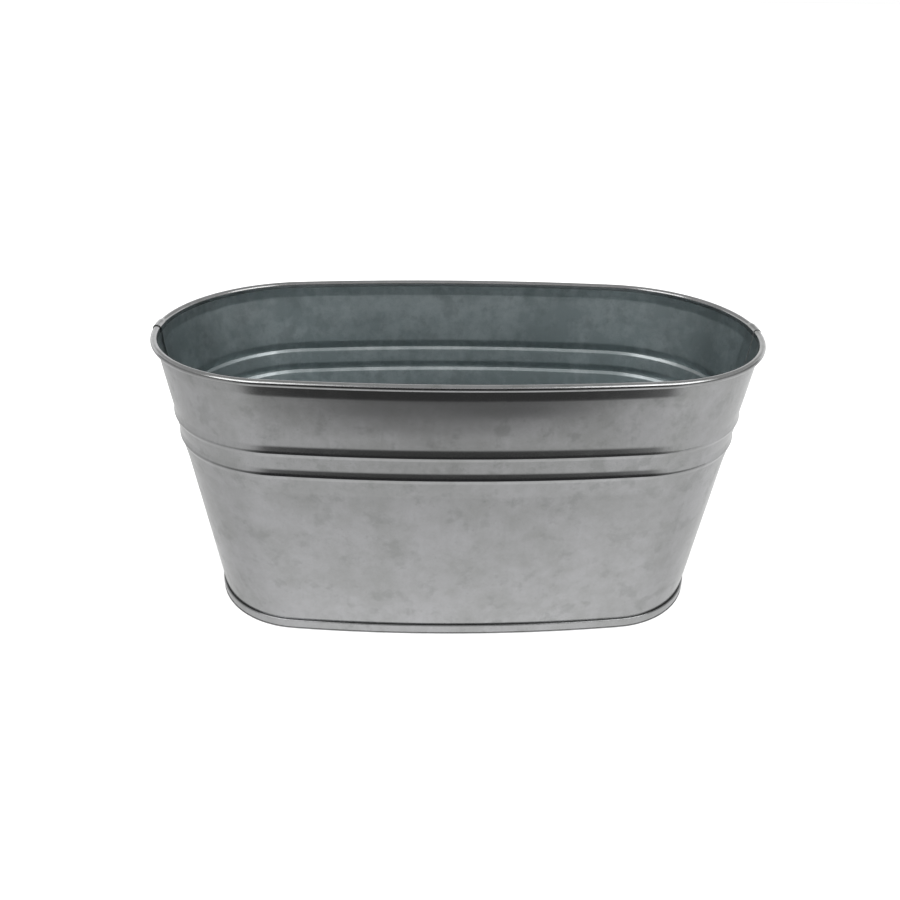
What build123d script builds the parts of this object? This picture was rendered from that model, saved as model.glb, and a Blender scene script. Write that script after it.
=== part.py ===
"""Oval galvanised drinking tub: two pressed half walls lapped at the ends, a double-seamed
base pan, a wire inside the rolled rim, and the sealant that makes the seams watertight.

Millimetres, +Z up. The origin is on the floor, under the centre of the tub, and X runs along it.
Every section is drawn in a wall plane: x is the distance outwards from the centreline of the
rim bead, so the wall's is negative, and y is the height above the floor.
"""
import os
from math import atan2, degrees

from build123d import *

# ---- overall size ----
LENGTH = 360.0          # over the rim bead
WIDTH = 176.8           # over the rim bead
HEIGHT = 181.5          # floor to the top of the bead
END_CENTRE = 97.0       # the end arcs are struck from here, left and right of the middle

# ---- sheet and rim ----
SHEET = 0.4             # wall and base sheet
BEAD_RADIUS = 2.0       # rolled rim, outside
WIRE_RADIUS = 1.5       # wire inside the rolled rim
CURL_END = -130.0       # angle where the curl stops, from straight outwards
NECK_FOOT = 171.3       # the wall is upright above this
NECK_BEND = 3.0         # bend from the tapered wall into the neck

# ---- base seam ----
SEAM_FACE = -19.7       # outer face of the seam band
SEAM_HEIGHT = 6.8       # floor to the top of the band
SEAM_GAP = 0.05         # between the layers of sheet
SEAM_BEND = 3.0         # bend where the wall leaves the seam
FOOT_BEND = 0.6         # bends of the pan at the foot of the seam
PAN_LEVEL = 5.6         # middle of the base panel's sheet
PAN_BEND = 1.4          # bend from the base panel down into the seam
SEALANT_RISE = 0.8      # base sealant up the wall
SEALANT_REACH = 1.0     # base sealant over the panel

# ---- lapped end seams ----
LAP_GAP = 0.15          # between the lapped sheets
LAP_ANGLE = 3.5         # the lap reaches this far either side of the end of the tub
LAP_SEALANT = 0.14      # sealant in the gap
LAP_SEALED = [(9.5, 105.0), (143.0, 169.5)]         # its heights, below and above the ribs
LAP_SEALANT_ANGLE = 2.5
JOGGLE_START = 0.25     # degrees from the front wall's edge to the step in the rear wall
JOGGLE_ANGLE = 1.0      # degrees that the step takes
TONGUE_FOOT = 9.0       # the rear wall's tongue is notched below this
TONGUE_CURL_END = -115.0

# ---- pressed ribs, from the lowest bend up: height, how far it stands out, bend radius ----
RIB_BENDS = [
    (108.0, 0.0, 20.0),
    (118.2, 0.6, 2.0),
    (120.4, 1.3, 1.2),
    (125.8, 0.15, 1.5),
    (133.2, 0.4, 2.0),
    (135.3, 1.0, 1.2),
    (141.2, 0.0, 2.0),
]

# ---- worked out from those ----
BEAD_LEVEL = HEIGHT - BEAD_RADIUS
CURL_RADIUS = BEAD_RADIUS - SHEET / 2
END_RADIUS = LENGTH / 2 - BEAD_RADIUS - END_CENTRE
HALF_WIDTH = WIDTH / 2 - BEAD_RADIUS
SIDE_RADIUS = (END_CENTRE**2 + HALF_WIDTH**2 - END_RADIUS**2) / (2 * (HALF_WIDTH - END_RADIUS))
SIDE_CENTRE = SIDE_RADIUS - HALF_WIDTH
TURN = degrees(atan2(SIDE_CENTRE, END_CENTRE))      # where an end arc meets a side arc
PITCH = SHEET + SEAM_GAP
LAYERS = [SEAM_FACE - SHEET / 2 - k * PITCH for k in range(5)]      # of the base seam, outside in
WALL_FOOT = LAYERS[3]
WALL_TOP = -CURL_RADIUS
LAP_STEP = SHEET + LAP_GAP

# Arcs of the rim: centre, radius, start angle and size
RIGHT_END = ((END_CENTRE, 0), END_RADIUS, -TURN, 2 * TURN)
REAR_SIDE = ((0, -SIDE_CENTRE), SIDE_RADIUS, TURN, 180 - 2 * TURN)
LEFT_END = ((-END_CENTRE, 0), END_RADIUS, 180 - TURN, 2 * TURN)
FRONT_SIDE = ((0, SIDE_CENTRE), SIDE_RADIUS, 180 + TURN, 180 - 2 * TURN)
RIM = [RIGHT_END, REAR_SIDE, LEFT_END, FRONT_SIDE]


def right_stretch(start, end):
    """The stretch of the right end between two angles from the end of the tub."""
    return ((END_CENTRE, 0), END_RADIUS, start, end - start)


def left_stretch(start, end):
    """Its mirror image at the left end."""
    return ((-END_CENTRE, 0), END_RADIUS, 180 - end, end - start)


def carry_round(draw, arcs):
    """Draw a section in the wall plane at the start of each arc and carry it round the arc."""
    for centre, radius, start, size in arcs:
        middle = Vector(*centre)
        outwards = Vector(1, 0).rotate(Axis.Z, start)
        sideways = outwards.rotate(Axis.Z, -90)
        with BuildSketch(Plane(middle + outwards * radius, x_dir=outwards, z_dir=sideways)) as section:
            draw()
        revolve(section.sketch, axis=Axis(middle, (0, 0, 1)), revolution_arc=size)


def plain_wall(height):
    """Middle of the sheet of a plain tapered wall at a height."""
    along = (height - SEAM_HEIGHT) / (NECK_FOOT - SEAM_HEIGHT)
    return WALL_FOOT + (WALL_TOP - WALL_FOOT) * along


def ribbed_sheet(foot_points, foot_radii, inset, curl_end, thickness):
    """Sheet that rises from its foot through the ribs and the neck into the curled rim.

    An inset sheet lies that much further in up the wall, so it goes round outside the curl.
    """
    ribs = [(plain_wall(height) + relief - inset, height) for height, relief, _ in RIB_BENDS]
    bends = [bend for _, _, bend in RIB_BENDS]
    neck = [(WALL_TOP - inset, NECK_FOOT), (WALL_TOP - inset, BEAD_LEVEL)]
    with BuildLine() as middle:
        FilletPolyline(*foot_points, *ribs, *neck, radius=[*foot_radii, *bends, NECK_BEND])
        CenterArc((0, BEAD_LEVEL), CURL_RADIUS + inset, 180, curl_end - 180)
    trace(middle.line, line_width=thickness)


def wall_section():
    """Half wall, with its foot hooked into the base seam."""
    foot = SHEET / 2 + PITCH
    hook = [(LAYERS[1], SEAM_HEIGHT - SHEET - PITCH), (LAYERS[1], foot), (WALL_FOOT, foot)]
    ribbed_sheet([*hook, (WALL_FOOT, SEAM_HEIGHT)], [0.9 * PITCH, 0.9 * PITCH, SEAM_BEND],
                 0, CURL_END, SHEET)


def tongue_section():
    """Edge of the rear wall, lapped inside the front wall and over its curl."""
    foot = (plain_wall(TONGUE_FOOT) - LAP_STEP, TONGUE_FOOT)
    ribbed_sheet([foot], [], LAP_STEP, TONGUE_CURL_END, SHEET)


def joggle_section():
    """Step in the rear wall: fills between the middles of the wall's and the tongue's sheet."""
    foot = (plain_wall(TONGUE_FOOT) - LAP_STEP / 2, TONGUE_FOOT)
    ribbed_sheet([foot], [], LAP_STEP / 2, TONGUE_CURL_END, LAP_STEP)


def lap_sealant_section():
    """Sealant between the lapped sheets, below the ribs and above them."""
    with BuildLine() as middle:
        for bottom, top in LAP_SEALED:
            Line(
                (plain_wall(bottom) - LAP_STEP / 2, bottom),
                (plain_wall(top) - LAP_STEP / 2, top),
            )
    trace(middle.line, line_width=LAP_SEALANT)


def pan_rim_section():
    """Edge of the base pan: down inside the wall, round the foot and folded into the seam."""
    with BuildLine() as middle:
        FilletPolyline(
            (LAYERS[2], SHEET + PITCH + FOOT_BEND),
            (LAYERS[2], SEAM_HEIGHT - SHEET / 2),
            (LAYERS[0], SEAM_HEIGHT - SHEET / 2),
            (LAYERS[0], SHEET / 2),
            (LAYERS[4], SHEET / 2),
            (LAYERS[4], PAN_LEVEL),
            (LAYERS[4] - 2 * PAN_BEND, PAN_LEVEL),
            radius=[0.9 * PITCH, 0.9 * PITCH, FOOT_BEND, FOOT_BEND, PAN_BEND],
        )
    trace(middle.line, line_width=SHEET)


def wire_section():
    """Round wire in the middle of the rim bead."""
    with Locations((0, BEAD_LEVEL)):
        Circle(WIRE_RADIUS)


def base_sealant_section():
    """Fillet of sealant in the groove between the bend of the pan and the wall."""
    bend_centre = (LAYERS[4] - PAN_BEND, PAN_LEVEL - PAN_BEND)
    wall_face = WALL_FOOT - SHEET / 2
    with BuildLine() as outline:
        bend = CenterArc(bend_centre, PAN_BEND + SHEET / 2, 90, -70)
        Polyline(
            bend @ 1,
            (wall_face, (bend @ 1).Y),
            (wall_face, (bend @ 0).Y + SEALANT_RISE),
            bend @ 0 - Vector(SEALANT_REACH),
            bend @ 0,
        )
    make_face(outline.line)


with BuildPart() as front_wall:
    carry_round(wall_section, [
        left_stretch(-TURN, LAP_ANGLE),
        FRONT_SIDE,
        right_stretch(-TURN, LAP_ANGLE),
    ])

REAR_EDGE = LAP_ANGLE + JOGGLE_START
with BuildPart() as rear_wall:
    carry_round(wall_section, [
        right_stretch(REAR_EDGE, TURN),
        REAR_SIDE,
        left_stretch(REAR_EDGE, TURN),
    ])
    for stretch in (left_stretch, right_stretch):
        carry_round(joggle_section, [stretch(REAR_EDGE, REAR_EDGE + JOGGLE_ANGLE)])
        carry_round(tongue_section, [stretch(-LAP_ANGLE, REAR_EDGE + JOGGLE_ANGLE)])

with BuildPart() as base_pan:
    carry_round(pan_rim_section, RIM)
    with BuildSketch(Plane.XY.offset(PAN_LEVEL - SHEET / 2)):
        with BuildLine():
            for centre, radius, start, size in RIM:
                CenterArc(centre, radius + LAYERS[4] - 2 * PAN_BEND, start, size)
        make_face()
    extrude(amount=SHEET)

with BuildPart() as rim_wire:
    carry_round(wire_section, RIM)

with BuildPart() as base_sealant:
    carry_round(base_sealant_section, RIM)

with BuildPart() as left_lap_sealant:
    carry_round(lap_sealant_section, [left_stretch(-LAP_SEALANT_ANGLE, LAP_SEALANT_ANGLE)])

with BuildPart() as right_lap_sealant:
    carry_round(lap_sealant_section, [right_stretch(-LAP_SEALANT_ANGLE, LAP_SEALANT_ANGLE)])

os.makedirs("parts", exist_ok=True)
for name, piece in {
    "front_wall": front_wall,
    "rear_wall": rear_wall,
    "base_pan": base_pan,
    "rim_wire": rim_wire,
    "base_sealant": base_sealant,
    "left_lap_sealant": left_lap_sealant,
    "right_lap_sealant": right_lap_sealant,
}.items():
    piece.part.label = name
    export_step(piece.part, f"parts/{name}.step")
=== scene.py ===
"""Looks of the oval galvanised tub.

The two half walls, the base pan and the bead of base sealant are rebuilt as fine meshes in the places
of their CAD solids, with the slight unevenness of real sheet. The bend below the rim is softer than in
the CAD, and the ribs fall away faster above their crests, which shapes the streaks that they mirror.
The rim wire and the lap sealants keep their CAD meshes.

Metres, in the CAD frame: +Z up, X along the tub, and -Y towards the camera. In a section, the first
number is the distance outwards from the centreline of the rim bead, and the second is the height above
the floor.
"""
from math import atan2, ceil, cos, pi, radians, sin, tan

import bmesh
import bpy
from mathutils import Matrix, Vector, noise


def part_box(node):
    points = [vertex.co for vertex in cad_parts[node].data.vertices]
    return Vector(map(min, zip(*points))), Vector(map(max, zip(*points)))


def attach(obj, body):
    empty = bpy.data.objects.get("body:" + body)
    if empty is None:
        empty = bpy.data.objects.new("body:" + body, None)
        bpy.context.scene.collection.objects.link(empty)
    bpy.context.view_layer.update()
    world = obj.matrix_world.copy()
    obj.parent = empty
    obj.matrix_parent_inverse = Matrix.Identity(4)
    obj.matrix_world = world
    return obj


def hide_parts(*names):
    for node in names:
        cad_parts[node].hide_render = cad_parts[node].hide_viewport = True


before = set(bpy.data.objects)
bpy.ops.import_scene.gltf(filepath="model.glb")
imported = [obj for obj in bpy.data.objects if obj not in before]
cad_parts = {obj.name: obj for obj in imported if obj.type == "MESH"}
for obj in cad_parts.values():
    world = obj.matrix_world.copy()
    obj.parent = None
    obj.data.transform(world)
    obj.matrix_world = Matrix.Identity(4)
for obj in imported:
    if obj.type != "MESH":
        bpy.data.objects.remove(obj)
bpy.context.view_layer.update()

# ---- sheet, rim and plan, from the frame where it shows them ----
WALL_LOW, WALL_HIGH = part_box("front_wall")
WIRE_LOW, WIRE_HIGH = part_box("rim_wire")
SHEET = 0.0004
BEAD_RADIUS = 0.002                     # rolled rim, outside
BEAD_LEVEL = (WIRE_LOW.z + WIRE_HIGH.z) / 2
CURL_RADIUS = BEAD_RADIUS - SHEET / 2   # middle of the curled sheet
CURL_END = radians(-130)                # where the curl stops, from straight outwards
END_CENTRE = 0.097                      # the end arcs are struck from here, left and right
END_RADIUS = WALL_HIGH.x - BEAD_RADIUS - END_CENTRE
HALF_WIDTH = -WALL_LOW.y - BEAD_RADIUS
SIDE_RADIUS = (END_CENTRE**2 + HALF_WIDTH**2 - END_RADIUS**2) / (2 * (HALF_WIDTH - END_RADIUS))
SIDE_CENTRE = SIDE_RADIUS - HALF_WIDTH
TURN = atan2(SIDE_CENTRE, END_CENTRE)   # where an end arc meets a side arc

# ---- base seam and base pan ----
_, PAN_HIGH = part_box("base_pan")
SEAM_HEIGHT = PAN_HIGH.z
SEAM_FACE = PAN_HIGH.x - END_CENTRE - END_RADIUS    # outer face of the seam band
SEAM_GAP = 0.00005                                  # between the layers of sheet
PITCH = SHEET + SEAM_GAP
LAYERS = [SEAM_FACE - SHEET / 2 - k * PITCH for k in range(5)]      # of the seam, outside in
WALL_FOOT = LAYERS[3]                   # middle of the wall's sheet in the seam
SEAM_BEND = 0.003                       # where the wall leaves the seam
FOLD_BEND = 0.9 * PITCH                 # of the folds hooked into each other
FOOT_BEND = 0.0006                      # of the pan at the foot of the seam
PAN_LEVEL = 0.0056                      # middle of the base panel's sheet
PAN_BEND = 0.0014                       # from the base panel down into the seam

# ---- neck, and ribs from the lowest bend up: height, how far it stands out, bend radius ----
NECK_FOOT = 0.1717                      # the wall is upright above this
NECK_BEND = 0.014
RIB_BENDS = [
    (0.1080, 0.0, 0.0200),
    (0.1182, 0.0006, 0.0020),
    (0.1205, 0.0013, 0.0008),
    (0.1219, 0.0007, 0.0040),
    (0.1249, 0.00015, 0.0080),
    (0.1332, 0.0004, 0.0020),
    (0.1353, 0.0010, 0.0008),
    (0.1366, 0.00055, 0.0040),
    (0.1401, 0.0, 0.0120),
]

# ---- lapped end seams ----
LAP_ANGLE = radians(3.5)                # the lap reaches this far either side of the end
LAP_GAP = 0.00015                       # between the lapped sheets
LAP_STEP = SHEET + LAP_GAP
JOGGLE_START = radians(0.25)            # from the front wall's edge to the step in the rear wall
JOGGLE_ANGLE = radians(1.0)             # that the step takes
TONGUE_FOOT = 0.009                     # the rear wall's lapped edge is notched below this
TONGUE_CURL_END = radians(-115)
PRESSED_TIGHT = 0.00012                 # the right lap's edge
SPRUNG_OPEN = 0.0002                    # the left lap's edge
ANGLE_SLACK = 1e-6                      # when the angles of stations are compared

# ---- finishes, in the order of the material slots ----
OUTSIDE = 0
# the inside zinc: its teal tint is a painted reflection and its paler colour is painted light
INSIDE = 1
# the cut-edge zinc, only at the right lap: its paler colour is painted light over the dark line of that
# lap's gap
CUT_EDGE = 2
LAP_REACH = 0.012                       # cut edges at a lap are within this of the long axis
EDGE_FACING = 0.8                       # least sideways part of a cut edge's normal
PANEL_FACING = 0.5                      # least upward part of a panel face's normal

# ---- fineness of the meshes ----
RUN_STEP = 0.0022
BEND_STEPS = 5
CURL_STEPS = 40
SIDE_STEP = 0.0025
END_STEP = radians(1.6)
JOGGLE_STEPS = 6
PANEL_RINGS = 14
SAME_PLACE = 1e-7                       # points this close are joined
SHARP_ANGLE = radians(50)

# ---- unevenness of the sheet ----
WAVE_DEPTH = 0.00022
WAVE_SIZE = 0.055
WAVE_FADE = 0.012                       # height over which the waves fade, twice it below the ribs
PANEL_WAVE = 0.0003
PANEL_FADE = 0.3                        # share of the way in at which the panel sags fully

# ---- bead of base sealant ----
SEALANT_WAVE = 0.02
SEALANT_RISE = 0.0008                   # up the wall
SEALANT_REACH = 0.0010                  # over the panel
SEALANT_LEAST = 0.55                    # least share of those
SEALANT_FILL = 0.6                      # how much its hollow face is filled
GROOVE_ANGLE = radians(20)              # of its lowest corner on the pan's bend, from level

# ---- floor and world ----
FLOOR_COLOUR = (0.88, 0.88, 0.88)
FLOOR_HALF = 40.0
WORLD_GLOW = 1.0

# ---- stage that only the metal mirrors ----
ONLY_MIRRORED = {"camera": False, "diffuse": False, "shadow": False, "transmission": False}
WHITE = (1.0, 1.0, 1.0)
DARK = (0.03, 0.03, 0.032)
CARD_HEIGHT = 0.6
CARD_CORNER = (0.75, -1.1)              # where the front card meets the right side card
SIDE_CARD_END = (1.25, 0.6)
SIDE_CARD_DIM = 0.08                    # its glow at the corner
SIDE_CARD_FULL_Y = -0.4                 # where its glow is full
SIDE_CARD_GLOW = 0.33
CEILING_HEIGHT = 1.6
CEILING_HALF = 3.0
CEILING_GLOW = 0.5
CONTACT_SHADOW_HEIGHT = 0.001                # painted contact shadow: a dark line on the floor round the foot, which only the metal mirrors
CONTACT_SHADOW_WIDTH = 0.0005

# ---- mirrored floor: bright near the tub, falling to dark in front ----
MIRRORED_FLOOR_HEIGHT = 0.0003
MIRRORED_FLOOR_HALF = 3.0
FRONT_GLOW = [                          # distance from the long axis, and the glow there
    (0.07, 1.0), (0.11, 0.9), (0.16, 0.79), (0.22, 0.66), (0.25, 0.52), (0.27, 0.35),
    (0.28, 0.24), (0.29, 0.15), (0.33, 0.08), (0.39, 0.055), (0.45, 0.055),
]
FRONT_GLOW_SPAN = 0.5                   # distance that the whole ramp stands for
GLOW_BOW = 0.8                          # its bands bow outwards by this times X squared
SIDE_GLOW = 0.78                        # to the sides
SIDE_OFFSET = 0.1                       # added to the distance when the sideways slope is judged
SIDE_START = 0.42                       # slope, X over distance, where the side glow starts
SIDE_FULL = 1.2                         # and where it is full
REAR_SHARE = 0.65                       # of the side glow, mixed in behind the tub
REAR_FULL_Y = 0.1
GLOW_LEAN = 0.25                        # brighter by this per metre towards +X

# ---- lights ----
SOFTBOX_PLACE = Vector((0.77, -0.72, 0.95))     # the right one's
SOFTBOX_TARGET = Vector((0, 0, 0.18))
SOFTBOX_WIDTH = 0.9
SOFTBOX_HEIGHT = 0.65
SOFTBOX_POWER = 4.8
EVEN_LIGHT_STRENGTH = 2.2
EVEN_LIGHT_SPREAD = radians(70)
EVEN_LIGHT_TILT = radians(25)           # from straight overhead towards the camera

# ---- camera ----
CAMERA_TARGET = Vector((-0.004489, 0, 0.096136))
CAMERA_YAW = radians(-1.845)
CAMERA_ELEVATION = radians(28.945)
CAMERA_DISTANCE = 0.53946
CAMERA_ROLL = radians(1.0755)
FOCAL_LENGTH = 33.40                    # millimetres
SENSOR_WIDTH = 36                       # millimetres
CLIP_START = 0.01


def smooth_step(low, high, value):
    """0 below low, 1 above high and smooth in between."""
    share = min(max((value - low) / (high - low), 0.0), 1.0)
    return share * share * (3 - 2 * share)


# ---------------------------------------------------------------- sections

def plain_wall(height):
    """Middle of the sheet of a plain tapered wall at a height."""
    along = (height - SEAM_HEIGHT) / (NECK_FOOT - SEAM_HEIGHT)
    return WALL_FOOT + (-CURL_RADIUS - WALL_FOOT) * along


def bent_line(corners, bend_radii):
    """Points along a line through the corners, each inner corner rounded to its radius."""
    line = [corners[0]]
    for before, corner, after, radius in zip(corners, corners[1:], corners[2:], bend_radii):
        towards = (corner - before).normalized()
        onwards = (after - corner).normalized()
        turn = atan2(towards.x * onwards.y - towards.y * onwards.x, towards.dot(onwards))
        start = corner - towards * radius * tan(abs(turn) / 2)
        side = 1 if turn > 0 else -1
        centre = start + Vector((-towards.y, towards.x)) * radius * side
        for step in range(BEND_STEPS + 1):
            line.append(centre + Matrix.Rotation(turn * step / BEND_STEPS, 2) @ (start - centre))
    line.append(corners[-1])
    return line


def fill_runs(line):
    """The same line, with more points on its long upright or sloping runs."""
    filled = [line[0]]
    for start, end in zip(line, line[1:]):
        parts = max(1, ceil(abs(end.y - start.y) / RUN_STEP))
        filled += [start.lerp(end, part / parts) for part in range(1, parts + 1)]
    return filled


def wall_line():
    """Middle of the wall's sheet, from its hook in the base seam up to the foot of the curl."""
    foot = SHEET / 2 + PITCH
    hook = [(LAYERS[1], SEAM_HEIGHT - SHEET - PITCH), (LAYERS[1], foot), (WALL_FOOT, foot)]
    ribs = [(plain_wall(height) + relief, height) for height, relief, _ in RIB_BENDS]
    neck = [(-CURL_RADIUS, NECK_FOOT), (-CURL_RADIUS, BEAD_LEVEL)]
    corners = [Vector(corner) for corner in [*hook, (WALL_FOOT, SEAM_HEIGHT), *ribs, *neck]]
    bends = [FOLD_BEND, FOLD_BEND, SEAM_BEND, *(bend for _, _, bend in RIB_BENDS), NECK_BEND]
    return fill_runs(bent_line(corners, bends))


def pan_line():
    """Middle of the pan's sheet, from its edge inside the seam round the foot to the panel."""
    corners = [
        (LAYERS[2], SHEET + PITCH + FOOT_BEND),
        (LAYERS[2], SEAM_HEIGHT - SHEET / 2),
        (LAYERS[0], SEAM_HEIGHT - SHEET / 2),
        (LAYERS[0], SHEET / 2),
        (LAYERS[4], SHEET / 2),
        (LAYERS[4], PAN_LEVEL),
        (LAYERS[4] - 2 * PAN_BEND, PAN_LEVEL),
    ]
    bends = [FOLD_BEND, FOLD_BEND, FOOT_BEND, FOOT_BEND, PAN_BEND]
    return fill_runs(bent_line([Vector(corner) for corner in corners], bends))


# ---------------------------------------------------------------- stations round the rim

def steps_between(start, end, step):
    """Evenly spaced values from start up to, but not including, end."""
    count = ceil((end - start) / step)
    return [start + (end - start) * k / count for k in range(count)]


def end_station(angle, side, x_side):
    """Centreline point, outward direction and angle from the end of the tub, on an end arc."""
    outwards = Vector((x_side * cos(angle), side * sin(angle), 0))
    return Vector((x_side * END_CENTRE, 0, 0)) + END_RADIUS * outwards, outwards, angle


def side_station(angle, side):
    """The same on the long arc of a side."""
    outwards = Vector((cos(angle), side * sin(angle), 0))
    return Vector((0, -side * SIDE_CENTRE, 0)) + SIDE_RADIUS * outwards, outwards, TURN


def half_stations(side, first_angles):
    """Stations along one half of the tub, from its right edge to its left.

    first_angles lead up to TURN at the right end, and they are mirrored at the left.
    """
    right = [end_station(angle, side, 1) for angle in first_angles]
    side_angles = steps_between(TURN, pi - TURN, SIDE_STEP / SIDE_RADIUS)
    middle = [side_station(angle, side) for angle in side_angles]
    left = [end_station(angle, side, -1) for angle in [TURN, *reversed(first_angles)]]
    return right + middle + left


def ring_stations():
    """Stations all the way round the tub, for a closed ring."""
    angles = steps_between(0, TURN, END_STEP)
    rear = half_stations(1, angles)
    front = half_stations(-1, angles)
    return rear + front[-2:0:-1]


# ---------------------------------------------------------------- meshes

def wave(place):
    """How far the sheet stands out or in at a place, fading out towards the seam, ribs and rim."""
    height = place.z
    below = smooth_step(SEAM_HEIGHT, SEAM_HEIGHT + WAVE_FADE, height)
    below *= 1 - smooth_step(RIB_BENDS[1][0] - 2 * WAVE_FADE, RIB_BENDS[1][0], height)
    above = smooth_step(RIB_BENDS[-1][0], RIB_BENDS[-1][0] + WAVE_FADE, height)
    above *= 1 - smooth_step(NECK_FOOT - WAVE_FADE, NECK_FOOT, height)
    return WAVE_DEPTH * (below + above) * noise.noise(place / WAVE_SIZE)


def grid_mesh(name, rows, closed, keep=lambda row, column: True):
    """Mesh of the quads between rows of points. A closed one joins its last row to its first."""
    width = len(rows[0])
    faces = []
    for row in range(len(rows) if closed else len(rows) - 1):
        after = (row + 1) % len(rows)
        for column in range(width - 1):
            if keep(row, column):
                faces.append((row * width + column, row * width + column + 1,
                              after * width + column + 1, after * width + column))
    mesh = bpy.data.meshes.new(name)
    mesh.from_pydata([place for row in rows for place in row], [], faces)
    shape = bmesh.new()
    shape.from_mesh(mesh)
    bmesh.ops.delete(shape, geom=[v for v in shape.verts if not v.link_faces], context="VERTS")
    bmesh.ops.remove_doubles(shape, verts=shape.verts, dist=SAME_PLACE)
    bmesh.ops.recalc_face_normals(shape, faces=shape.faces)
    shape.to_mesh(mesh)
    shape.free()
    return mesh


def thicken(mesh, name, finish_of):
    """Sheet object from its middle surface, with the finish that finish_of gives for each face."""
    piece = bpy.data.objects.new(name, mesh)
    bpy.context.scene.collection.objects.link(piece)
    for finish in (ZINC_OUTSIDE, ZINC_INSIDE_PAINTED_LIGHT, ZINC_CUT_PAINTED_LIGHT):
        mesh.materials.append(finish)
    solidify = piece.modifiers.new("sheet", "SOLIDIFY")
    solidify.thickness = SHEET
    solidify.offset = 0
    solidify.use_even_offset = True
    evaluated = piece.evaluated_get(bpy.context.evaluated_depsgraph_get())
    finished = bpy.data.meshes.new_from_object(evaluated)
    piece.modifiers.clear()
    piece.data = finished
    for face in finished.polygons:
        face.material_index = finish_of(face)
    smooth(finished)
    return piece


def wall_finish(face):
    """Finish of a face of a wall: cut edge at the right lap, inside below the rim, or outside. The cut
    edge's paler colour is painted light, and so is the inside's paler teal, whose tint is a painted
    reflection.
    """
    # only the right lap's cut edges are painted lighter, which hides the dark line of its gap; the left
    # lap's stay dark
    at_right_lap = face.center.x > 0 and abs(face.center.y) < LAP_REACH
    if at_right_lap and abs(face.normal.y) > EDGE_FACING:
        return CUT_EDGE
    axis = Vector((min(max(face.center.x, -END_CENTRE), END_CENTRE), 0, face.center.z))
    looks_in = face.center.z < BEAD_LEVEL - BEAD_RADIUS and face.normal.dot(face.center - axis) < 0
    return INSIDE if looks_in else OUTSIDE


def pan_finish(face):
    """Finish of a face of the pan: the inside one, paler and teal as painted light and painted
    reflection, on top of the panel.
    """
    on_panel = PAN_LEVEL / 2 < face.center.z < PAN_LEVEL + SHEET
    return INSIDE if on_panel and face.normal.z > PANEL_FACING else OUTSIDE


def smooth(mesh):
    """Smooth shading, but for the cut edges of the sheet."""
    mesh.polygons.foreach_set("use_smooth", [True] * len(mesh.polygons))
    mesh.set_sharp_from_angle(angle=SHARP_ANGLE)
    mesh.update()


def half_wall(name, side, lap_inside):
    """Half wall from its hooked foot to the end of its curl.

    lap_inside steps its ends in, so that they lap inside the other half.
    """
    line = wall_line()
    joggle_outer = LAP_ANGLE + JOGGLE_START + JOGGLE_ANGLE
    joggle_inner = LAP_ANGLE + JOGGLE_START
    angles = steps_between(-LAP_ANGLE, joggle_inner, END_STEP)
    angles += steps_between(joggle_inner, joggle_outer, JOGGLE_ANGLE / JOGGLE_STEPS)
    angles += steps_between(joggle_outer, TURN, END_STEP)
    stations = half_stations(side, angles)
    rows = []
    for centre, outwards, angle in stations:
        step_in = 1 - smooth_step(joggle_inner, joggle_outer, angle) if lap_inside else 0.0
        to_edge = step_in * (1 - smooth_step(-LAP_ANGLE, LAP_ANGLE, angle))
        lap_step = LAP_STEP - (PRESSED_TIGHT * to_edge if outwards.x > 0 else 0.0)
        row = []
        for point in line:
            inset = lap_step * step_in * smooth_step(TONGUE_FOOT - RUN_STEP, TONGUE_FOOT, point.y)
            if outwards.x < 0:
                inset += SPRUNG_OPEN * to_edge * (1 - smooth_step(NECK_FOOT, BEAD_LEVEL, point.y))
            place = centre + outwards * (point.x - inset) + Vector((0, 0, point.y))
            row.append(place + outwards * wave(place))
        curl_radius = CURL_RADIUS + lap_step * step_in
        curl_end = CURL_END + (TONGUE_CURL_END - CURL_END) * step_in
        for step in range(1, CURL_STEPS + 1):
            turn = pi + (curl_end - pi) * step / CURL_STEPS
            row.append(centre + outwards * curl_radius * cos(turn)
                       + Vector((0, 0, BEAD_LEVEL + curl_radius * sin(turn))))
        rows.append(row)

    def keep(row, column):
        lesser_angle = min(stations[row][2], stations[row + 1][2])
        on_tongue = lap_inside and lesser_angle < joggle_inner - ANGLE_SLACK
        return not (on_tongue and column < len(line) and line[column].y < TONGUE_FOOT)

    return thicken(grid_mesh(name, rows, False, keep), name, wall_finish)


def base_pan(name):
    """Pan with its edge folded round the foot of the walls, and a panel that closes to the middle."""
    line = pan_line()
    rows = []
    for centre, outwards, _ in ring_stations():
        row = [centre + outwards * point.x + Vector((0, 0, point.y)) for point in line]
        rim = row[-1]
        for ring in range(1, PANEL_RINGS + 1):
            share = 1 - ring / PANEL_RINGS
            place = Vector((rim.x * share, rim.y * share, rim.z))
            sag = PANEL_WAVE * smooth_step(0, PANEL_FADE, 1 - share)
            place.z += sag * (noise.noise(place / WAVE_SIZE) - 1)
            row.append(place)
        rows.append(row)
    return thicken(grid_mesh(name, rows, True), name, pan_finish)


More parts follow.
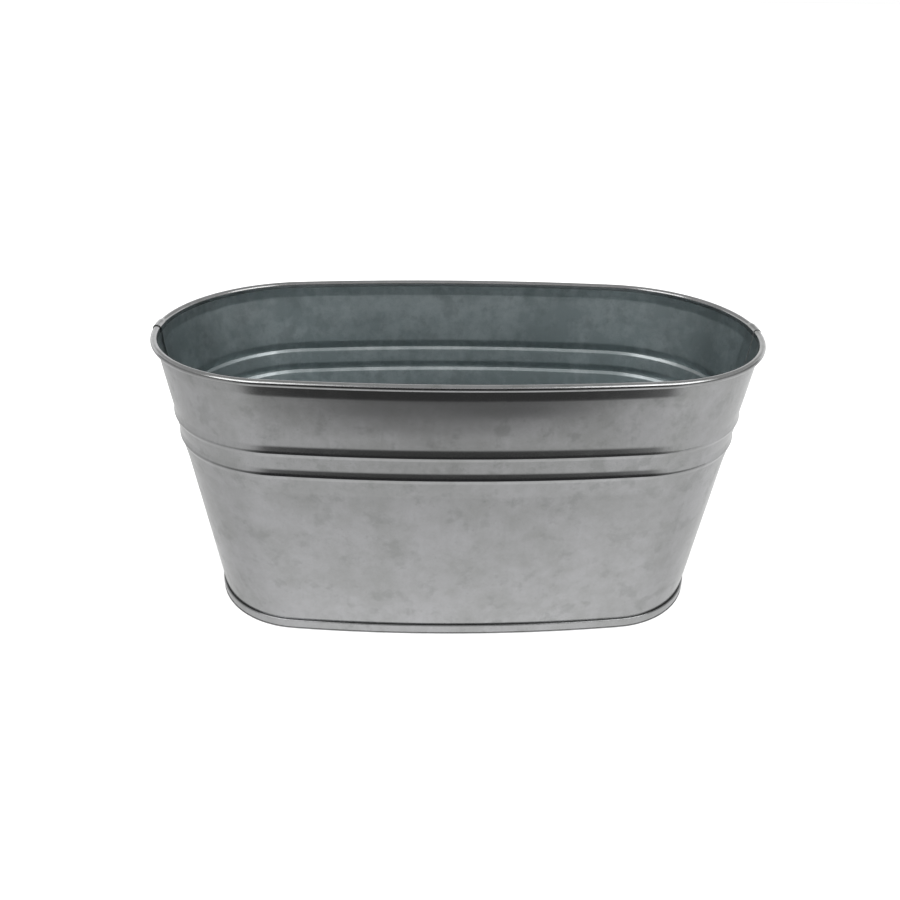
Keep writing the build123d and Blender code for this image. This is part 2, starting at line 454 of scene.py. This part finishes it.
def base_sealant(name, material):
    """Bead of sealant smeared along the foot of the wall, narrower and wider along its way."""
    bend_centre = Vector((LAYERS[4] - PAN_BEND, PAN_LEVEL - PAN_BEND))
    panel_top = PAN_LEVEL + SHEET / 2
    wall_face = WALL_FOOT - SHEET / 2
    groove = bend_centre + Matrix.Rotation(GROOVE_ANGLE, 2) @ Vector((PAN_BEND + SHEET / 2, 0))
    rows = []
    for centre, outwards, _ in ring_stations():
        amount = SEALANT_LEAST + (1 - SEALANT_LEAST) * (0.5 + noise.noise(centre / SEALANT_WAVE))
        amount = min(max(amount, SEALANT_LEAST), 1.0)
        top = Vector((wall_face, panel_top + SEALANT_RISE * amount))
        toe = Vector((bend_centre.x - SEALANT_REACH * amount, panel_top))
        hollow = Vector((wall_face, panel_top)).lerp((top + toe) / 2, SEALANT_FILL)
        face = [(1 - t)**2 * top + 2 * t * (1 - t) * hollow + t**2 * toe
                for t in (step / BEND_STEPS for step in range(BEND_STEPS + 1))]
        outline = [*face, Vector((bend_centre.x, panel_top)), groove, Vector((wall_face, groove.y))]
        outline.append(outline[0])
        rows.append([centre + outwards * point.x + Vector((0, 0, point.y)) for point in outline])
    mesh = grid_mesh(name, rows, True)
    mesh.materials.append(material)
    smooth(mesh)
    piece = bpy.data.objects.new(name, mesh)
    bpy.context.scene.collection.objects.link(piece)
    return piece


# ---------------------------------------------------------------- materials

def add(tree, kind, inputs=(), **settings):
    """A node of a kind, with its settings and with values or other nodes' outputs on its inputs."""
    made = tree.nodes.new(kind)
    for name, value in settings.items():
        setattr(made, name, value)
    for name, value in dict(inputs).items():
        if isinstance(value, bpy.types.NodeSocket):
            tree.links.new(value, made.inputs[name])
        else:
            made.inputs[name].default_value = value
    return made


def new_material(name, kind="ShaderNodeBsdfPrincipled"):
    """Material with nothing but its shader, its node tree, and the shader."""
    material = bpy.data.materials.new(name)
    material.use_nodes = True
    tree = material.node_tree
    tree.nodes.clear()
    shader = add(tree, kind)
    output = add(tree, "ShaderNodeOutputMaterial")
    tree.links.new(shader.outputs[0], output.inputs["Surface"])
    return material, tree, shader


def object_place(tree):
    """Place on the object, which is the place in the frame."""
    return add(tree, "ShaderNodeTexCoord").outputs["Object"]


def patches(tree, place, scale, detail, low, high, stretch=(1, 1, 1)):
    """0 to 1 between two levels of a noise of that scale, which stretch makes longer along an axis."""
    stretched = add(tree, "ShaderNodeMapping", {"Vector": place, "Scale": stretch}).outputs["Vector"]
    cloud = add(tree, "ShaderNodeTexNoise", {
        "Vector": stretched, "Scale": scale, "Detail": detail, "Roughness": 0.6,
    })
    level = add(tree, "ShaderNodeMapRange", {
        "Value": cloud.outputs["Fac"], "From Min": low, "From Max": high,
    }, interpolation_type="SMOOTHSTEP")
    return level.outputs["Result"]


def blend(tree, share, first, second):
    """Colour between two, each a colour or another node's output."""
    mix = add(tree, "ShaderNodeMix", data_type="RGBA")
    for socket, value in ((mix.inputs[0], share), (mix.inputs[6], first), (mix.inputs[7], second)):
        if isinstance(value, bpy.types.NodeSocket):
            tree.links.new(value, socket)
        else:
            socket.default_value = value
    return mix.outputs[2]


def calculate(tree, operation, *values):
    """Result of a maths node on numbers or other nodes' outputs."""
    inputs = dict(enumerate(values))
    return add(tree, "ShaderNodeMath", inputs, operation=operation).outputs[0]


def sum_of(tree, parts, start):
    """start plus each share times its weight."""
    total = start
    for share, weight in parts:
        total = calculate(tree, "MULTIPLY_ADD", share, weight, total)
    return total


def zinc(name, pale, deep, smudge, roughness, cloudiness):
    """Galvanised sheet: soft clouds, faint crystals, smudges, fine specks and rubbed streaks."""
    material, tree, shader = new_material(name)
    place = object_place(tree)
    clouds = patches(tree, place, scale=30, detail=6, low=0.34, high=0.66)
    mottle = patches(tree, place, scale=140, detail=5, low=0.34, high=0.66)
    stains = patches(tree, place, scale=75, detail=8, low=0.52, high=0.66)
    specks = patches(tree, place, scale=620, detail=2, low=0.64, high=0.76)
    streaks = patches(tree, place, scale=260, detail=3, low=0.5, high=0.8, stretch=(1, 1, 0.12))
    crystals = add(tree, "ShaderNodeTexVoronoi", {"Vector": place, "Scale": 95.0})
    tone = add(tree, "ShaderNodeSeparateColor", {"Color": crystals.outputs["Color"]}).outputs["Red"]
    grain = add(tree, "ShaderNodeTexNoise", {
        "Vector": place, "Scale": 1500.0, "Detail": 3.0,
    }).outputs["Fac"]
    cover = sum_of(tree, [
        (clouds, 0.5 * cloudiness), (mottle, 0.28 * cloudiness), (tone, 0.14), (grain, 0.6),
    ], -0.3)
    marks = sum_of(tree, [(stains, 0.3 * cloudiness), (specks, 0.3), (streaks, 0.1)], 0.0)
    colour = blend(tree, marks, blend(tree, cover, pale, deep), smudge)
    relief = sum_of(tree, [(mottle, 0.3), (streaks, 0.2), (grain, 0.2)], 0.0)
    bump = add(tree, "ShaderNodeBump", {"Height": relief, "Strength": 0.1, "Distance": 0.00005})
    rough = sum_of(tree, [(clouds, 0.03), (mottle, 0.02), (stains, 0.05), (streaks, 0.02)], roughness)
    tree.links.new(colour, shader.inputs["Base Color"])
    tree.links.new(rough, shader.inputs["Roughness"])
    tree.links.new(bump.outputs["Normal"], shader.inputs["Normal"])
    shader.inputs["Metallic"].default_value = 1.0
    return material


def sealant(name, dark, pale):
    """Grey seam sealant, matt, with a lumpy skin."""
    material, tree, shader = new_material(name)
    place = object_place(tree)
    dust = patches(tree, place, scale=220, detail=4, low=0.4, high=0.7)
    lumps = add(tree, "ShaderNodeTexNoise", {
        "Vector": place, "Scale": 900.0, "Detail": 2.0,
    }).outputs["Fac"]
    bump = add(tree, "ShaderNodeBump", {"Height": lumps, "Strength": 0.4, "Distance": 0.0002})
    tree.links.new(blend(tree, dust, dark, pale), shader.inputs["Base Color"])
    tree.links.new(sum_of(tree, [(dust, 0.2)], 0.5), shader.inputs["Roughness"])
    tree.links.new(bump.outputs["Normal"], shader.inputs["Normal"])
    return material


ZINC_OUTSIDE = zinc(
    "zinc_outside",
    pale=(0.45, 0.452, 0.46, 1),
    deep=(0.36, 0.365, 0.36, 1),
    smudge=(0.25, 0.26, 0.25, 1),
    roughness=0.16,
    cloudiness=1.0,
)
# Inside of the sheet: the same zinc, rougher and cloudier, but paler and teal. The teal is a painted
# reflection of the surround, and the paler colour is painted light that brightens the shaded inside.
ZINC_INSIDE_PAINTED_LIGHT = zinc(
    "zinc_inside_painted_light",
    pale=(0.66, 0.70, 0.71, 1),
    deep=(0.45, 0.50, 0.51, 1),
    smudge=(0.35, 0.39, 0.40, 1),
    roughness=0.30,
    cloudiness=1.7,
)
# Paler, rougher zinc for the cut edges at the right lap only. The roughness is real, but the paler colour
# is painted light that hides the dark line of that lap's gap; the left lap's cut edges keep the outside
# zinc and show their dark arc.
ZINC_CUT_PAINTED_LIGHT = zinc(
    "zinc_cut_edge_painted_light",
    pale=(0.50, 0.50, 0.50, 1),
    deep=(0.40, 0.40, 0.40, 1),
    smudge=(0.30, 0.30, 0.30, 1),
    roughness=0.65,
    cloudiness=1.0,
)
SEALANT = sealant("seam_sealant", dark=(0.16, 0.165, 0.165, 1), pale=(0.24, 0.245, 0.24, 1))


# ---------------------------------------------------------------- pieces

front_wall = half_wall("front_wall_sheet", -1, False)
rear_wall = half_wall("rear_wall_sheet", 1, True)
pan = base_pan("base_pan_sheet")
bead = base_sealant("base_sealant_bead", SEALANT)

for piece, node, slot in (
    (front_wall, "front_wall", "galvanised_sheet"),
    (rear_wall, "rear_wall", "galvanised_sheet"),
    (pan, "base_pan", "galvanised_sheet"),
    (bead, "base_sealant", "seam_sealant"),
):
    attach(piece, "root")
    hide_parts(node)

for node, material in (
    ("rim_wire", ZINC_OUTSIDE),
    ("left_lap_sealant", SEALANT),
    ("right_lap_sealant", SEALANT),
):
    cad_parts[node].material_slots[0].material = material


# ---------------------------------------------------------------- stage

def staged(name, mesh, material, seen_by):
    """Part of the stage. seen_by says which kinds of ray see it, and the others all do."""
    mesh.materials.append(material)
    part = bpy.data.objects.new(name, mesh)
    bpy.context.scene.collection.objects.link(part)
    for ray in ("camera", "diffuse", "glossy", "shadow", "transmission"):
        setattr(part, f"visible_{ray}", seen_by.get(ray, True))


def panel_mesh(name, corners):
    """Mesh of one flat face."""
    mesh = bpy.data.meshes.new(name)
    mesh.from_pydata(corners, [], [tuple(range(len(corners)))])
    return mesh


def level_panel(name, half, height):
    """Level square about the middle of the stage, half its side each way."""
    corners = [(-half, -half, height), (half, -half, height), (half, half, height), (-half, half, height)]
    return panel_mesh(name, corners)


def upright_panel(name, start, end):
    """Card that stands on the floor between two places."""
    corners = [(*start, 0), (*end, 0), (*end, CARD_HEIGHT), (*start, CARD_HEIGHT)]
    return panel_mesh(name, corners)


def contact_shadow_mesh(name):
    """Narrow ring on the floor round the foot of the tub, for the painted contact shadow that only the
    metal mirrors.
    """
    lift = Vector((0, 0, CONTACT_SHADOW_HEIGHT))
    rows = []
    for centre, outwards, _ in ring_stations():
        foot = centre + outwards * SEAM_FACE + lift
        rows.append([foot, foot + outwards * CONTACT_SHADOW_WIDTH])
    return grid_mesh(name, rows, True)


def paper(name, colour):
    """Plain matt paper."""
    material, _, shader = new_material(name)
    shader.inputs["Base Color"].default_value = (*colour, 1)
    shader.inputs["Roughness"].default_value = 0.9
    return material


def even_glow(name, colour, strength):
    """Evenly glowing card."""
    material, _, shader = new_material(name, "ShaderNodeEmission")
    shader.inputs["Color"].default_value = (*colour, 1)
    shader.inputs["Strength"].default_value = strength
    return material


def side_card_glow(name):
    """Glow of the side cards, dimmer towards their front corners."""
    material, tree, shader = new_material(name, "ShaderNodeEmission")
    xyz = add(tree, "ShaderNodeSeparateXYZ", {"Vector": object_place(tree)})
    level = add(tree, "ShaderNodeMapRange", {
        "Value": xyz.outputs["Y"], "From Min": CARD_CORNER[1], "From Max": SIDE_CARD_FULL_Y,
        "To Min": SIDE_CARD_DIM, "To Max": SIDE_CARD_GLOW,
    })
    tree.links.new(level.outputs["Result"], shader.inputs["Strength"])
    return material


def front_glow(tree, across, away):
    """Glow of the floor in front of the tub, in bands that bow away to the sides."""
    square = calculate(tree, "MULTIPLY", across, across)
    bowed = calculate(tree, "MULTIPLY_ADD", square, -GLOW_BOW, away)
    ramp = add(tree, "ShaderNodeValToRGB", {"Fac": calculate(tree, "DIVIDE", bowed, FRONT_GLOW_SPAN)})
    stops = ramp.color_ramp.elements
    while len(stops) < len(FRONT_GLOW):
        stops.new(1.0)
    for stop, (distance, glow) in zip(stops, FRONT_GLOW):
        stop.position = distance / FRONT_GLOW_SPAN
        stop.color = (glow, glow, glow, 1)
    return ramp.outputs["Color"]


def mirrored_floor_glow(name):
    """What the metal sees of the floor: bright near the tub and to the sides, dark far in front."""
    material, tree, shader = new_material(name, "ShaderNodeEmission")
    xyz = add(tree, "ShaderNodeSeparateXYZ", {"Vector": object_place(tree)})
    across = calculate(tree, "ABSOLUTE", xyz.outputs["X"])
    away = calculate(tree, "ABSOLUTE", xyz.outputs["Y"])
    slope = calculate(tree, "DIVIDE", across, calculate(tree, "ADD", away, SIDE_OFFSET))
    aside = add(tree, "ShaderNodeMapRange", {
        "Value": slope, "From Min": SIDE_START, "From Max": SIDE_FULL,
    }, interpolation_type="SMOOTHSTEP").outputs["Result"]
    behind = add(tree, "ShaderNodeMapRange", {
        "Value": xyz.outputs["Y"], "From Min": 0.0, "From Max": REAR_FULL_Y, "To Max": REAR_SHARE,
    }).outputs["Result"]
    side_colour = (SIDE_GLOW, SIDE_GLOW, SIDE_GLOW, 1)
    colour = blend(tree, aside, front_glow(tree, across, away), side_colour)
    colour = blend(tree, behind, colour, side_colour)
    lean = calculate(tree, "MULTIPLY_ADD", xyz.outputs["X"], GLOW_LEAN, 1.0)
    tree.links.new(colour, shader.inputs["Color"])
    tree.links.new(lean, shader.inputs["Strength"])
    return material


floor = level_panel("floor", FLOOR_HALF, 0)
staged("floor", floor, paper("pale_floor", FLOOR_COLOUR), {})

mirrored_floor = level_panel("mirrored_floor", MIRRORED_FLOOR_HALF, MIRRORED_FLOOR_HEIGHT)
staged("mirrored_floor", mirrored_floor, mirrored_floor_glow("mirrored_floor"), ONLY_MIRRORED)

# painted contact shadow: a dark ring that the metal mirrors at its foot
contact_shadow_ring = contact_shadow_mesh("contact_shadow")
staged("contact_shadow", contact_shadow_ring, even_glow("contact_shadow", DARK, 1.0), ONLY_MIRRORED)

corner_x, corner_y = CARD_CORNER
end_x, end_y = SIDE_CARD_END
front_card = upright_panel("dark_front_card", (-corner_x, corner_y), CARD_CORNER)
staged("dark_front_card", front_card, even_glow("dark_front", DARK, 1.0), ONLY_MIRRORED)

side_glow = side_card_glow("side_card")
for name, side in (("left_side_card", -1), ("right_side_card", 1)):
    side_card = upright_panel(name, (side * corner_x, corner_y), (side * end_x, end_y))
    staged(name, side_card, side_glow, ONLY_MIRRORED)

ceiling = level_panel("ceiling_card", CEILING_HALF, CEILING_HEIGHT)
staged("ceiling_card", ceiling, even_glow("ceiling", WHITE, CEILING_GLOW), ONLY_MIRRORED)


# ---------------------------------------------------------------- light

def softbox(name, side):
    """Rectangular soft light in front of the tub, aimed at it, on its left (-1) or right (1)."""
    data = bpy.data.lights.new(name, "AREA")
    data.shape = "RECTANGLE"
    data.size = SOFTBOX_WIDTH
    data.size_y = SOFTBOX_HEIGHT
    data.energy = SOFTBOX_POWER
    light = bpy.data.objects.new(name, data)
    light.location = (side * SOFTBOX_PLACE.x, SOFTBOX_PLACE.y, SOFTBOX_PLACE.z)
    towards = SOFTBOX_TARGET - light.location
    light.rotation_euler = towards.to_track_quat("-Z", "Y").to_euler()
    bpy.context.scene.collection.objects.link(light)


def even_light(name):
    """Very wide light from overhead, a little from the front, which the metal doesn't mirror."""
    data = bpy.data.lights.new(name, "SUN")
    data.energy = EVEN_LIGHT_STRENGTH
    data.angle = EVEN_LIGHT_SPREAD
    light = bpy.data.objects.new(name, data)
    light.rotation_euler = (EVEN_LIGHT_TILT, 0, 0)
    light.visible_glossy = False
    bpy.context.scene.collection.objects.link(light)


def white_world():
    """White surroundings."""
    world = bpy.data.worlds.new("world")
    world.use_nodes = True
    background = world.node_tree.nodes["Background"]
    background.inputs["Color"].default_value = (*WHITE, 1)
    background.inputs["Strength"].default_value = WORLD_GLOW
    bpy.context.scene.world = world


softbox("left_softbox", -1)
softbox("right_softbox", 1)
even_light("even_light")
white_world()


# ---------------------------------------------------------------- camera

def look(target, yaw, elevation, distance, roll):
    """Camera at a distance from its target, round it by yaw, above it by elevation, and rolled."""
    back = Vector((sin(yaw) * cos(elevation), -cos(yaw) * cos(elevation), sin(elevation)))
    level = Vector((cos(yaw), sin(yaw), 0))
    across = Matrix.Rotation(roll, 3, back) @ level
    data = bpy.data.cameras.new("camera")
    data.lens = FOCAL_LENGTH
    data.sensor_width = SENSOR_WIDTH
    data.clip_start = CLIP_START
    camera = bpy.data.objects.new("camera", data)
    camera.matrix_world = Matrix((across, back.cross(across), back)).transposed().to_4x4()
    camera.location = target + distance * back
    bpy.context.scene.collection.objects.link(camera)
    bpy.context.scene.camera = camera


look(CAMERA_TARGET, CAMERA_YAW, CAMERA_ELEVATION, CAMERA_DISTANCE, CAMERA_ROLL)

bpy.context.scene.view_settings.view_transform = "Standard"
bpy.context.scene.cycles.use_denoising = True
